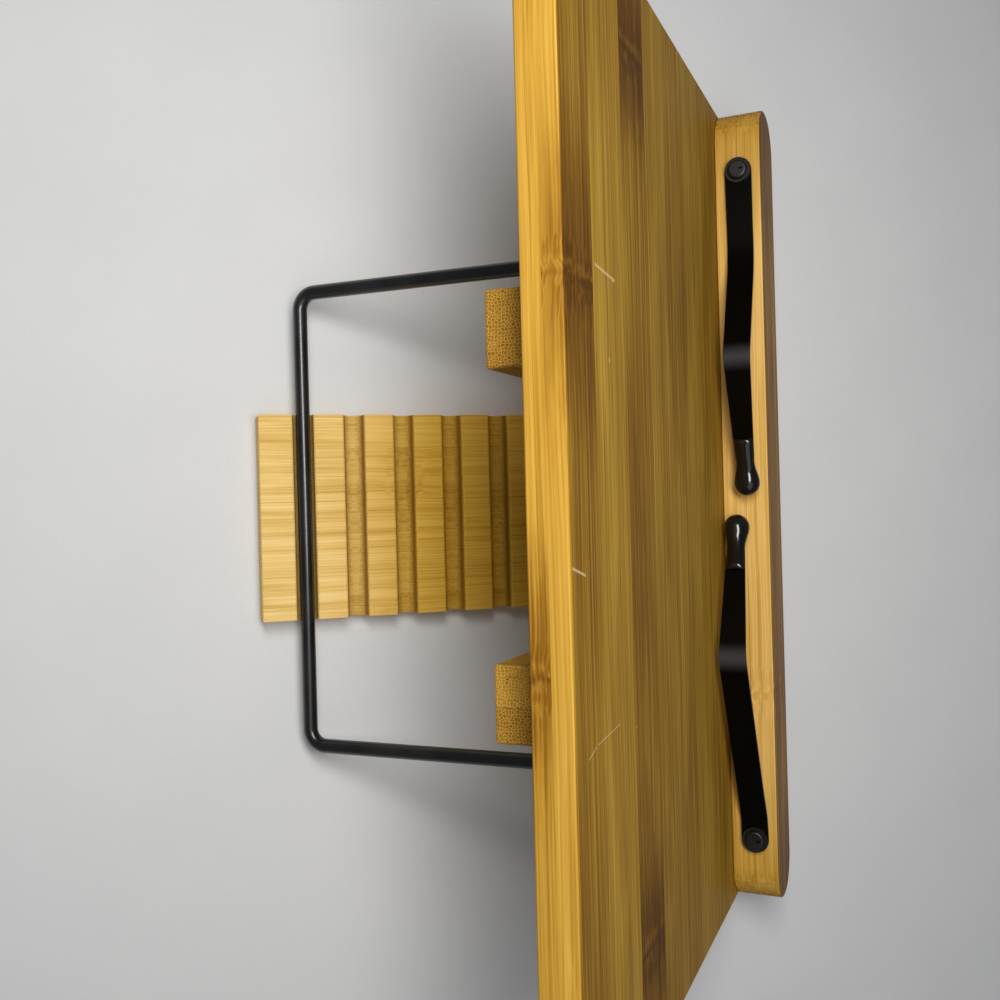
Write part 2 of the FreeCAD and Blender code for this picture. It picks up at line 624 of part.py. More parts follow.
on_panel = [panel, ledge, ledge_screws, batten_left, batten_right, batten_screws, hinge_rod]
placed = []
for side, sign in (("left", -1), ("right", 1)):
    rise = f"Sizes.clip_rise_{side}"
    strap, blade = clip_strap(
        f"clip_strap_{side}", rise, f"Sizes.clip_flat_{side}", f"Sizes.clip_bend_{side}")
    tip = clip_tip(f"clip_tip_{side}", blade, rise)
    place = clip_place(sign, size[f"clip_turn_{side}"])
    placed += [(strap, place), (tip, place)]
    on_panel += [clip_screw(f"clip_screw_{side}", sign), clip_washer(f"clip_washer_{side}", sign)]

placed += [(piece, panel_place) for piece in on_panel]
placed += [(foot_board, board_place), (prop_wire, wire_place)]

# ---------------------------------------------------------------- check and write
doc.removeObject(working.Name)
for piece, place in placed:
    piece.Placement = place
doc.recompute()
for thing in doc.Objects:
    if any(word in thing.State for word in ("Invalid", "Error")):
        raise RuntimeError(f"{thing.Name} failed: {thing.State}")

os.makedirs("parts", exist_ok=True)
for piece, place in placed:
    shape = piece.Shape
    if shape.isNull() or not shape.isValid() or not shape.Solids:
        raise RuntimeError(f"{piece.Label} has no valid solid")
    shape.exportStep(f"parts/{piece.Label}.step")
    box = shape.BoundBox
    print(f"{piece.Label:18} solids {len(shape.Solids)}  volume {shape.Volume / 1000:9.3f} cm3"
          f"  y {box.YMin:7.2f} {box.YMax:7.2f}  z {box.ZMin:7.2f} {box.ZMax:7.2f}")
print(f"prop leg {wire_length:.2f} mm, {wire_drop:.2f} degrees below level")
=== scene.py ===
"""Look of the folding bamboo stand: its materials, dipped clip tips, floor, light and camera."""
import json
import math

import bpy
from mathutils import Matrix, Vector


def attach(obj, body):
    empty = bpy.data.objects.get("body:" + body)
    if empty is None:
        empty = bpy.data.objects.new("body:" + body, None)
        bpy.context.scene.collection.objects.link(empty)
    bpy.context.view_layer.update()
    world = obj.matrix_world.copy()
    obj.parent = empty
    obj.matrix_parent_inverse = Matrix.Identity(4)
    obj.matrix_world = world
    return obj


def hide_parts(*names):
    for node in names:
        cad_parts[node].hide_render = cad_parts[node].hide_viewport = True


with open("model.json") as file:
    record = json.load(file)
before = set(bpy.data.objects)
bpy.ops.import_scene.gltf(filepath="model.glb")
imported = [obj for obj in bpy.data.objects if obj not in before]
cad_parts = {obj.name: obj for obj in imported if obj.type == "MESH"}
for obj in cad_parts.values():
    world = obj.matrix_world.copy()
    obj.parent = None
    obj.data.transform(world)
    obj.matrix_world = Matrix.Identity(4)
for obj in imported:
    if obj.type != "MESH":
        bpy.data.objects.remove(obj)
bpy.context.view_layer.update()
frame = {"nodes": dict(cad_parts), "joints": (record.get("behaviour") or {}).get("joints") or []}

nodes = frame["nodes"]
joints = {joint["name"]: joint for joint in frame["joints"]}
MM = 0.001

# ---------------------------------------------------------------- frames taken from the CAD
# the panel leans back: its up axis runs along its face, its back axis away from the reader
PANEL_UP = Vector(joints["clip_swivel_right"]["axis"]).normalized()
PANEL_BACK = Vector((0, PANEL_UP.z, -PANEL_UP.y))
panel_points = [vertex.co for vertex in nodes["back_panel"].data.vertices]
PANEL_FOOT = (
    PANEL_UP * min(point.dot(PANEL_UP) for point in panel_points)
    + PANEL_BACK * min(point.dot(PANEL_BACK) for point in panel_points))
RECLINE = math.atan2(PANEL_UP.y, PANEL_UP.z)

# where a wood's pattern is laid out: its origin, its turn about X and its axes' directions
LEVEL = {
    "origin": (0, 0, 0), "tilt": 0.0,
    "ways": {"x": (1, 0, 0), "y": (0, 1, 0), "z": (0, 0, 1)}}
RECLINED = {
    "origin": PANEL_FOOT, "tilt": -RECLINE,
    "ways": {"x": (1, 0, 0), "y": tuple(PANEL_BACK), "z": tuple(PANEL_UP)}}


# ---------------------------------------------------------------- node helpers
class Shader:
    """One material and short ways to add nodes to it."""

    def __init__(self, name):
        self.material = bpy.data.materials.new(name)
        self.material.use_nodes = True
        self.tree = self.material.node_tree
        self.surface = self.tree.nodes["Principled BSDF"]

    def add(self, kind, **settings):
        node = self.tree.nodes.new("ShaderNode" + kind)
        for name, setting in settings.items():
            setattr(node, name, setting)
        return node

    def feed(self, socket, value):
        if isinstance(value, bpy.types.NodeSocket):
            self.tree.links.new(value, socket)
        else:
            socket.default_value = value

    def math(self, operation, *values):
        node = self.add("Math", operation=operation)
        for socket, value in zip(node.inputs, values):
            self.feed(socket, value)
        return node.outputs[0]

    def scaled(self, value, factor, offset=0.0):
        return self.math("MULTIPLY_ADD", value, factor, offset)

    def centred(self, value, span, middle=0.0):
        """A value between 0 and 1 spread over `span` around `middle`."""
        return self.scaled(value, span, middle - span / 2)

    def total(self, first, *others):
        for other in others:
            first = self.math("ADD", first, other)
        return first

    def product(self, first, *others):
        for other in others:
            first = self.math("MULTIPLY", first, other)
        return first

    def inverse(self, value):
        return self.scaled(value, -1.0, 1.0)

    def combine(self, x, y, z):
        node = self.add("CombineXYZ")
        for socket, value in zip(node.inputs, (x, y, z)):
            self.feed(socket, value)
        return node.outputs[0]

    def split(self, vector):
        node = self.add("SeparateXYZ")
        self.feed(node.inputs[0], vector)
        return node.outputs

    def smooth(self, value, low, high, start=0.0, end=1.0):
        """`start` at `low`, `end` at `high`, and smooth between them."""
        node = self.add("MapRange", interpolation_type="SMOOTHSTEP")
        for name, number in (
                ("Value", value), ("From Min", low), ("From Max", high), ("To Min", start), ("To Max", end)):
            self.feed(node.inputs[name], number)
        return node.outputs[0]

    def fade(self, value, low, high):
        """1 up to `low`, 0 from `high` on."""
        return self.smooth(value, low, high, 1.0, 0.0)

    def hump(self, distance, reach):
        """1 at zero distance, 0 from `reach` on, either side."""
        return self.fade(self.math("ABSOLUTE", distance), 0.0, reach)

    def noise(self, vector, scale=1.0, detail=2.0, roughness=0.5):
        node = self.add("TexNoise")
        for name, value in (
                ("Vector", vector), ("Scale", scale), ("Detail", detail), ("Roughness", roughness)):
            self.feed(node.inputs[name], value)
        return node.outputs

    def cells(self, vector, randomness, feature="F1"):
        """Outputs of a flat pattern of irregular cells, one unit apart."""
        node = self.add("TexVoronoi", voronoi_dimensions="2D", feature=feature)
        self.feed(node.inputs["Vector"], vector)
        self.feed(node.inputs["Scale"], 1.0)
        self.feed(node.inputs["Randomness"], randomness)
        return node.outputs

    def dice(self, x, y, z):
        """Three random numbers for a triple of whole numbers."""
        node = self.add("TexWhiteNoise", noise_dimensions="3D")
        self.feed(node.inputs["Vector"], self.combine(x, y, z))
        return self.split(node.outputs["Color"])

    def ramp(self, value, stops, stepped=False):
        """Colour by position: stops are (position, (r, g, b))."""
        node = self.add("ValToRGB")
        node.color_ramp.interpolation = "CONSTANT" if stepped else "LINEAR"
        elements = node.color_ramp.elements
        while len(elements) > 1:
            elements.remove(elements[-1])
        for index, (position, colour) in enumerate(stops):
            element = elements[0] if index == 0 else elements.new(position)
            element.position = position
            element.color = (*colour, 1.0)
        self.feed(node.inputs[0], value)
        return node.outputs[0]

    def mix(self, factor, first, second, blend="MIX"):
        node = self.add("Mix", data_type="RGBA", blend_type=blend)
        for index, value in ((0, factor), (6, first), (7, second)):
            if isinstance(value, tuple) and len(value) == 3:
                value = (*value, 1.0)
            self.feed(node.inputs[index], value)
        return node.outputs[2]

    def tinted(self, colour, tint):
        return self.mix(1.0, colour, tint, "MULTIPLY")

    def choose(self, region, outside, inside):
        """The number `outside` where `region` is 0, `inside` where it is 1."""
        node = self.add("Mix", data_type="FLOAT")
        for index, value in ((0, region), (2, outside), (3, inside)):
            self.feed(node.inputs[index], value)
        return node.outputs[0]

    def place(self, rest=LEVEL):
        """Coordinates in millimetres in the layout `rest`."""
        spot = self.add("TexCoord")
        mapping = self.add("Mapping", vector_type="TEXTURE")
        self.tree.links.new(spot.outputs["Object"], mapping.inputs["Vector"])
        mapping.inputs["Location"].default_value = rest["origin"]
        mapping.inputs["Rotation"].default_value = (rest["tilt"], 0, 0)
        mapping.inputs["Scale"].default_value = (MM, MM, MM)
        return mapping.outputs[0]

    def facing(self, direction):
        """How squarely the surface faces a direction of the piece, from 0 to 1, either way round."""
        spot = self.add("TexCoord")
        node = self.add("VectorMath", operation="DOT_PRODUCT")
        self.tree.links.new(spot.outputs["Normal"], node.inputs[0])
        node.inputs[1].default_value = direction
        return self.math("ABSOLUTE", node.outputs["Value"])

    def set(self, **values):
        for name, value in values.items():
            self.feed(self.surface.inputs[name.replace("_", " ")], value)

    def bump(self, height, depth, strength):
        node = self.add("Bump")
        self.feed(node.inputs["Strength"], strength)
        self.feed(node.inputs["Distance"], depth)
        self.feed(node.inputs["Height"], height)
        self.tree.links.new(node.outputs[0], self.surface.inputs["Normal"])


# ---------------------------------------------------------------- bamboo
# each palette runs from the darkest tone to the lightest
GOLD = (
    (0.00, (0.100, 0.034, 0.003)), (0.22, (0.235, 0.104, 0.010)), (0.45, (0.430, 0.229, 0.028)),
    (0.65, (0.590, 0.338, 0.055)), (0.85, (0.700, 0.432, 0.098)), (1.00, (0.785, 0.530, 0.180)))
PALE = (
    (0.00, (0.150, 0.062, 0.006)), (0.22, (0.330, 0.170, 0.020)), (0.45, (0.560, 0.350, 0.062)),
    (0.65, (0.700, 0.475, 0.120)), (0.85, (0.780, 0.560, 0.180)), (1.00, (0.840, 0.640, 0.270)))

STRIP_STAGGER = 0.37         # how far each layer's strips are offset from the last, in strips
END_FACING = (0.55, 0.85)    # how squarely a surface faces along the fibres as its end grain shows
FACE_FACING = (0.60, 0.90)   # the same for facing out through the layers

# lengths in millimetres
NODE_REPEAT = 275.0          # between two nodes of one of the panel's outer strips
FARTHEST_NODE = 200.0        # the range of a listed node's place, either side of the middle
LONGEST_SMEAR = 100.0
SMEAR_SHORTEST, SMEAR_SPREAD = 14.0, 40.0
LAYER_BLEND = 0.05
GLUE_WIDTH = (0.22, 0.05)    # how far inside a strip's edge the glue line starts and is full
SEAM_WIDTH = (0.30, 0.06)    # the same for a layer's edge
SWIRL_REACH, SWIRL_WIDTH = 15.0, 4.2
WANDER_WIDTH = 3.0
NODE_LINE_REACH, NODE_LINE_WANDER = 1.6, 3.0
LIP_OFFSET, LIP_REACH = 3.0, 2.4
SMEAR_WANDER = 26.0
PORE_DEPTH = 0.12

# noises: size of the features along the fibres and across them, detail and roughness
WANDER = (95.0, 22.0, 1.0, 0.5)
SWIRL = (7.0, 12.0, 1.0, 0.5)
RAGGED = (9.0, 2.2, 3.0, 0.5)
FIBRE = (46.0, 0.55, 3.0, 0.6)
BANDS = (130.0, 3.2, 2.0, 0.5)
LINES = (240.0, 1.1, 1.0, 0.5)
BROAD = (110.0, 30.0, 1.0, 0.5)

# what each feature does to the tone
FIBRE_TONE, LINES_TONE, BROAD_TONE = 0.46, 0.28, 0.30
BUNDLE_TONE, GLUE_TONE, SEAM_TONE, END_TONE = -0.11, -0.16, -0.22, 0.05
SMEAR_TONE, NODE_LINE_TONE, LIP_TONE = -0.29, -0.16, 0.07


class Bamboo(Shader):
    """Wood glued up from bamboo strips in layers.

    `grain` names the axes of `rest` along the fibres, across the strips and through the layers.
    Lengths are in millimetres.  Tones run from 0, the darkest of the palette, to 1.
    """

    def __init__(self, name, grain, rest, strip, layer, shift, seed, tone, spread=0.34):
        super().__init__(name)
        axes = dict(zip("xyz", self.split(self.place(rest))))
        self.spot = [axes[letter] for letter in grain]
        self.along, self.across, self.depth = self.spot
        self.end = self.smooth(self.facing(rest["ways"][grain[0]]), *END_FACING)
        self.face = self.smooth(self.facing(rest["ways"][grain[2]]), *FACE_FACING)
        self.side = self.inverse(self.end)

        self.strip = strip
        self.layer = layer
        self.layer_place = self.scaled(self.depth, 1 / layer, shift[1])
        self.layer_number = self.math("FLOOR", self.layer_place)
        strip_place = self.total(
            self.scaled(self.across, 1 / strip, shift[0]), self.scaled(self.layer_number, STRIP_STAGGER))
        self.luck = self.dice(self.math("FLOOR", strip_place), self.layer_number, seed)
        self.own_tone = self.centred(self.luck[0], spread, tone)
        self.glue = self.rim(strip_place, strip, GLUE_WIDTH, 1.0)

    def rim(self, place, size, width, full):
        """`full` along both edges of each strip or layer, 0 inside it."""
        edge = self.math("ABSOLUTE", self.centred(self.math("FRACT", place), size))
        return self.smooth(edge, size / 2 - width[0], size / 2 - width[1], 0.0, full)

    def streaks(self, spot, long, wide, detail, roughness):
        """Noise with features `long` mm along the fibres and `wide` mm across them."""
        sizes = (long, wide, wide)
        return self.noise(
            self.combine(*(self.scaled(axis, 1 / size) for axis, size in zip(spot, sizes))),
            detail=detail, roughness=roughness)

    def set_nodes(self, gap=260.0, layer_shift=0.0):
        """Nodes `gap` apart in each strip, starting anywhere and shifted from layer to layer."""
        phase = self.math("FRACT", self.total(
            self.scaled(self.along, 1 / gap), self.scaled(self.layer_number, layer_shift / gap),
            self.luck[1]))
        self.from_node = self.centred(phase, gap)
        self.smear_reach = self.scaled(self.luck[2], SMEAR_SPREAD, SMEAR_SHORTEST)

    def list_face(self, strips):
        """Gives the outer layer's strips one by one: where each starts, its tone, the place of its
        node and the length of the dark smear beside it."""
        height = max(start for start, *_ in strips) + self.strip
        stops = [
            (start / height, (tone, 0.5 + node / (2 * FARTHEST_NODE), smear / LONGEST_SMEAR))
            for start, tone, node, smear in strips]
        tone, node, smear = self.split(self.ramp(self.scaled(self.across, 1 / height), stops, stepped=True))
        outer = self.fade(self.depth, self.layer - LAYER_BLEND, self.layer + LAYER_BLEND)
        from_first = self.math("SUBTRACT", self.along, self.centred(node, 2 * FARTHEST_NODE))
        past_half = self.math("LESS_THAN", from_first, -NODE_REPEAT / 2)
        nearest = self.total(from_first, self.scaled(past_half, NODE_REPEAT))
        self.own_tone = self.choose(outer, self.own_tone, tone)
        self.from_node = self.choose(outer, self.from_node, nearest)
        self.smear_reach = self.choose(outer, self.smear_reach, self.scaled(smear, LONGEST_SMEAR))
        self.glue = self.choose(outer, self.glue, 0.0)

    def bend_fibres(self):
        """The spot told along the fibres, which wander a little along the culm and swirl at a node."""
        drift = self.split(self.streaks(self.spot, *WANDER)[1])
        swirl = self.split(self.streaks(self.spot, *SWIRL)[1])
        swirl_width = self.scaled(self.hump(self.from_node, SWIRL_REACH), SWIRL_WIDTH)
        bent = [
            self.total(axis, self.centred(drift[index], WANDER_WIDTH), self.product(
                self.centred(swirl[index], 1.0), swirl_width))
            for index, axis in enumerate((self.across, self.depth))]
        return (self.along, *bent)

    def bundles(self, fibre_spot, size, netted):
        """Vascular bundles in the end grain, `size` apart: dark spots, or a pale net around dark
        cells.  Gives their strength and a random number for each."""
        _, across, depth = fibre_spot
        across_grain = self.combine(self.scaled(across, 1 / size), self.scaled(depth, 1 / size), 0.0)
        spots = self.cells(across_grain, 0.45)
        if netted:
            net = self.cells(across_grain, 0.80, "DISTANCE_TO_EDGE")
            bundle = self.smooth(net["Distance"], 0.04, 0.17)
        else:
            bundle = self.smooth(spots["Distance"], 0.50, 0.30)
        return bundle, self.split(spots["Color"])[0]

    def node_marks(self, fibre, force):
        """A node's thin dark line, and its whole effect on the tone: that line, a pale lip beside it
        and a brown smear to both sides."""
        ragged = self.streaks(self.spot, *RAGGED)[0]
        uneven = self.total(self.from_node, self.centred(ragged, NODE_LINE_WANDER))
        line = self.product(self.hump(uneven, NODE_LINE_REACH), self.scaled(fibre, 1.6, -0.3))
        lip = self.hump(self.math("SUBTRACT", uneven, LIP_OFFSET), LIP_REACH)
        from_smear = self.total(self.from_node, self.centred(ragged, SMEAR_WANDER))
        smear = self.product(
            self.hump(self.math("DIVIDE", from_smear, self.smear_reach), 1.0), self.scaled(fibre, 1.2, 0.25))
        return line, self.total(
            self.scaled(smear, SMEAR_TONE * force), self.scaled(line, NODE_LINE_TONE * force),
            self.scaled(lip, LIP_TONE * force))

    def grow(self, palette, rough=0.55, gloss=0.18, banding=0.56, node_force=1.0, spot_size=1.15,
             netted=False, end_force=0.40, face_shade=0.0, layer_glue=0.0):
        """Draws the wood, with painted shade on the faces through the layers by `face_shade`, and returns
        its colour for what is laid over it.
        """
        seam = self.rim(self.layer_place, self.layer, SEAM_WIDTH, layer_glue)
        fibre_spot = self.bend_fibres()
        fibre = self.streaks(fibre_spot, *FIBRE)[0]
        bands = self.streaks(fibre_spot, *BANDS)[0]
        lines = self.streaks(fibre_spot, *LINES)[0]
        broad = self.streaks(self.spot, *BROAD)[0]
        bundle, bundle_luck = self.bundles(fibre_spot, spot_size, netted)
        line, node_tone = self.node_marks(fibre, node_force)

        grainy = self.product(
            self.total(
                self.centred(fibre, FIBRE_TONE), self.centred(bands, banding),
                self.centred(lines, LINES_TONE), self.scaled(bundle, BUNDLE_TONE)),
            self.scaled(self.side, 0.75, 0.25))
        spots = self.product(bundle, self.scaled(bundle_luck, 0.4, 0.8), self.end)
        # painted shade: the surfaces facing out through the layers are darkened by face_shade
        level = self.total(
            self.own_tone, grainy, self.centred(broad, BROAD_TONE), self.scaled(self.glue, GLUE_TONE),
            self.scaled(seam, SEAM_TONE), self.product(node_tone, self.side),
            self.scaled(spots, -end_force), self.scaled(self.end, END_TONE),
            self.scaled(self.face, -face_shade))
        colour = self.ramp(level, palette)
        self.set(
            Base_Color=colour, IOR=1.45, Specular_IOR_Level=gloss,
            Roughness=self.total(self.centred(fibre, 0.12, rough), self.scaled(self.end, 0.12)))
        pores = self.total(
            self.scaled(fibre, 0.6), self.scaled(bundle, -0.35), self.scaled(line, -0.6),
            self.scaled(self.glue, -0.5), self.scaled(seam, -0.8))
        self.bump(pores, PORE_DEPTH * MM, 0.55)
        return colour


# ---------------------------------------------------------------- the four woods
NO_NODE = (-199.0, 10.0)     # a node beyond the panel's end, with a short smear, so none is seen
FACE_STRIPS = (
    # up the panel's face: start, tone, place of the node and length of its smear
    (0.0, 0.63, *NO_NODE), (20.0, 0.665, *NO_NODE), (44.0, 0.65, *NO_NODE),
    (68.5, 0.69, *NO_NODE), (92.0, 0.62, *NO_NODE), (118.0, 0.66, *NO_NODE),
    (144.5, 0.57, 141.0, 40.0), (171.0, 0.70, *NO_NODE), (201.0, 0.585, 61.0, 60.0))
SCRATCHES = (
    # start and end on the panel's face as (along, up), and half the width
    ((68.2, 200.0), (66.9, 181.4), 0.65), ((66.9, 181.4), (66.4, 184.8), 0.5),
    ((-12.8, 224.5), (-15.6, 213.5), 0.6), ((-63.2, 215.5), (-61.0, 208.0), 0.28),
    ((-61.0, 208.0), (-59.6, 187.0), 0.22), ((42.0, 188.5), (44.5, 189.0), 0.5),
    ((-63.5, 172.0), (-64.5, 170.5), 0.3))
SCRATCH_COLOUR = (0.80, 0.64, 0.36)
SCRATCH_STRENGTH = 0.62
SCRATCH_TAPER = 1.0
FACE_SKIN = (0.3, 0.6)       # the depth below the face at which the scratches fade out
UNCHANGED = (1.0, 1.0, 1.0)
FACE_TINT = (0.92, 0.99, 0.97)


def scratch(wood, start, end, width):
    """1 on a thin straight scratch between two places of the face."""
    run = Vector(end) - Vector(start)
    length = run.length
    run.normalize()
    off_along = wood.math("SUBTRACT", wood.along, start[0])
    off_across = wood.math("SUBTRACT", wood.across, start[1])
    on = wood.total(wood.scaled(off_along, run.x), wood.scaled(off_across, run.y))
    aside = wood.total(wood.scaled(off_along, -run.y), wood.scaled(off_across, run.x))
    from_middle = wood.math("ABSOLUTE", wood.math("SUBTRACT", on, length / 2))
    return wood.product(
        wood.hump(aside, width), wood.fade(from_middle, length / 2 - SCRATCH_TAPER, length / 2))


def panel_bamboo():
    """Wide strips with a few nodes and scratches on the face, which painted shade makes darker than the
    edges.
    """
    wood = Bamboo(
        "bamboo_panel", "xzy", RECLINED, strip=24.5, layer=6.0, shift=(0.3, 0.0), seed=4.0, tone=0.62)
    wood.set_nodes(layer_shift=50.0)
    wood.list_face(FACE_STRIPS)
    # painted shade on the panel's face, darker than its edges
    colour = wood.grow(GOLD, face_shade=0.235, banding=0.20, gloss=0.06)
    colour = wood.tinted(colour, wood.mix(wood.face, UNCHANGED, FACE_TINT))
    marks = 0.0
    for start, end, width in SCRATCHES:
        marks = wood.math("MAXIMUM", marks, scratch(wood, start, end, width))
    marks = wood.product(marks, wood.fade(wood.depth, *FACE_SKIN))
    wood.set(Base_Color=wood.mix(wood.scaled(marks, SCRATCH_STRENGTH), colour, SCRATCH_COLOUR))
    return wood


LEDGE_SHADE_FADE = (95.0, 165.0)   # from the ledge's middle: where the painted shade of the ends starts and is full
# painted light: a paler sheen tint for the ledge's middle and a painted shade tint for its ends
LEDGE_MIDDLE_SHEEN = (1.18, 1.20, 1.65)
LEDGE_END_SHADE = (0.79, 0.75, 0.56)


def ledge_bamboo():
    """Two thick layers, with a paler painted sheen in the middle and painted shade towards the ends."""
    wood = Bamboo(
        "bamboo_ledge", "xzy", RECLINED, strip=40.0, layer=9.45, shift=(0.1, 2.0), seed=9.0, tone=0.78,
        spread=0.08)
    wood.set_nodes(gap=520.0)
    # painted shade on the ledge's front face
    colour = wood.grow(GOLD, node_force=0.25, face_shade=0.28, layer_glue=1.0)
    # painted sheen along the middle of the ledge, painted shade towards its ends
    near_end = wood.smooth(wood.math("ABSOLUTE", wood.along), *LEDGE_SHADE_FADE)
    wood.set(Base_Color=wood.tinted(colour, wood.mix(near_end, LEDGE_MIDDLE_SHEEN, LEDGE_END_SHADE)))
    return wood


def batten_bamboo():
    """Solid strips whose end grain is a fine net."""
    wood = Bamboo(
        "bamboo_batten", "zxy", RECLINED, strip=44.0, layer=44.0, shift=(0.2, 0.0), seed=13.0, tone=0.54,
        spread=0.1)
    wood.set_nodes()
    wood.grow(GOLD, node_force=0.5, spot_size=0.92, netted=True, end_force=0.27)
    return wood


BOARD_TOP = max(vertex.co.z for vertex in nodes["foot_board"].data.vertices) / MM
UNDER_GROOVES = BOARD_TOP / 2    # just below the grooves' floors
REAR_GROOVE_END = 104.0          # the far side of the rearmost groove, from the stand's middle
# painted shade in the grooves: darkest on the walls, lighter on the floor
GROOVE_WALL_SHADE = (0.35, 0.28, 0.18)
GROOVE_FLOOR_SHADE = (0.77, 0.77, 0.68)
PANEL_SHADOW_FADE = (40.0, 95.0)      # from the stand's middle back: warm painted shadow of the panel before it, painted light beyond
# painted shadow of the panel, warm, and painted light out beyond it
PANEL_SHADOW_TINT = (1.00, 0.85, 0.41)
OPEN_LIGHT_TINT = (1.15, 1.15, 1.50)


def board_bamboo():
    """Paler wood, with a warm painted shadow towards the panel, painted light beyond it and painted shade
    down in the grooves.
    """
    wood = Bamboo(
        "bamboo_foot", "yxz", LEVEL, strip=21.0, layer=12.4, shift=(0.35, 0.5), seed=22.0, tone=0.68,
        spread=0.10)
    wood.set_nodes(gap=230.0)
    colour = wood.grow(PALE, node_force=0.35, rough=0.6, end_force=0.14)
    below_top = wood.product(
        wood.fade(wood.depth, BOARD_TOP - 3.5, BOARD_TOP - 0.3),
        wood.smooth(wood.depth, UNDER_GROOVES - 1.0, UNDER_GROOVES))
    between_ends = wood.product(
        wood.fade(wood.facing((1, 0, 0)), 0.3, 0.7),
        wood.fade(wood.along, REAR_GROOVE_END, REAR_GROOVE_END + 1.0))
    # painted shade down in the grooves, darker on the walls than on the floor
    walls_to_floor = wood.smooth(wood.facing((0, 0, 1)), 0.35, 0.95)
    groove_shade = wood.mix(walls_to_floor, GROOVE_WALL_SHADE, GROOVE_FLOOR_SHADE)
    # painted shadow under the panel and painted light beyond it
    shadow_and_light = wood.mix(wood.smooth(wood.along, *PANEL_SHADOW_FADE), PANEL_SHADOW_TINT, OPEN_LIGHT_TINT)
    colour = wood.tinted(colour, shadow_and_light)
    wood.set(Base_Color=wood.mix(
        wood.product(below_top, between_ends), colour, wood.tinted(colour, groove_shade)))
    return wood


# ---------------------------------------------------------------- metals and plastics
STRAP_BLACK = (0.0012, 0.0010, 0.0008)
# colour of the painted highlight on the straps' crests
STRAP_CREST_SHEEN = (0.040, 0.040, 0.041)
CREST_ACROSS = 60.0          # the straps' crests, from the middle of the stand
CREST_SHEEN_REACH = 6.5             # how far the painted highlight reaches from the crest


def painted(name, colour, rough, grain, depth, coat=0.0, coat_rough=0.1, wear=0.0, **fixed):
    """A painted or coated finish, a little uneven in colour, gloss and surface.

    `grain` is the surface noise's scale per millimetre and `depth` its height in millimetres.
    """
    made = Shader(name)
    spot = made.place()
    fine = made.noise(spot, grain, 3.0, 0.55)[0]
    cloud = made.noise(spot, 0.05, 2.0)[0]
    lighter = tuple(min(1.0, part * 1.7 + 0.004) for part in colour)
    made.set(
        Base_Color=made.mix(made.smooth(cloud, 0.35, 0.7), colour, lighter),
        Roughness=made.total(made.centred(fine, 0.10, rough), made.centred(cloud, wear)),
        Coat_Weight=coat, Coat_Roughness=coat_rough, **fixed)
    made.bump(fine, depth * MM, 0.5)
    return made


def black_strap():
    """Smooth black steel, with a painted highlight along the crest of the bend."""
    made = painted("black_strap", STRAP_BLACK, 0.22, 1.6, 0.03, wear=0.10, Specular_IOR_Level=0.10)
    from_crest = made.math("SUBTRACT", made.math("ABSOLUTE", made.split(made.place())[0]), CREST_ACROSS)
    # painted highlight: a lighter band along the crest
    made.set(Base_Color=made.mix(made.hump(from_crest, CREST_SHEEN_REACH), STRAP_BLACK, STRAP_CREST_SHEEN))
    return made


FINISHES = {
    "bamboo_panel": panel_bamboo(),
    "bamboo_ledge": ledge_bamboo(),
    "bamboo_batten": batten_bamboo(),
    "bamboo_foot": board_bamboo(),
    "black_wire": painted(
        "black_wire", (0.0048, 0.0048, 0.0052), 0.31, 2.2, 0.04, coat=0.25, coat_rough=0.16, wear=0.08),
    "black_strap": black_strap(),
    "dipped_plastic": painted(
        "dipped_plastic", (0.0030, 0.0030, 0.0030), 0.16, 0.35, 0.16, coat=0.35, coat_rough=0.05,
        Specular_IOR_Level=0.35),
    "dark_screw": painted("dark_screw", (0.0145, 0.014, 0.0135), 0.38, 1.8, 0.03, wear=0.12, Metallic=0.55),
    "zinc_steel": painted("zinc_steel", (0.42, 0.43, 0.43), 0.34, 1.2, 0.02, wear=0.15, Metallic=1.0),
}
NODE_FINISHES = {
    "back_panel": "bamboo_panel",
    "ledge": "bamboo_ledge",
    "batten_left": "bamboo_batten",
    "batten_right": "bamboo_batten",
    "foot_board": "bamboo_foot",
    "prop_wire": "black_wire",
    "clip_strap_left": "black_strap",
    "clip_strap_right": "black_strap",
    "clip_tip_left": "dipped_plastic",
    "clip_tip_right": "dipped_plastic",
    "clip_screw_left": "dark_screw",
    "clip_screw_right": "dark_screw",
    "clip_washer_left": "dark_screw",
    "clip_washer_right": "dark_screw",
    "ledge_screws": "zinc_steel",
    "batten_screws": "zinc_steel",
    "hinge_rod": "zinc_steel",
}


def dress(piece, finish):
    piece.data.materials.clear()
    piece.data.materials.append(FINISHES[finish].material)


for node, finish in NODE_FINISHES.items():
    dress(nodes[node], finish)

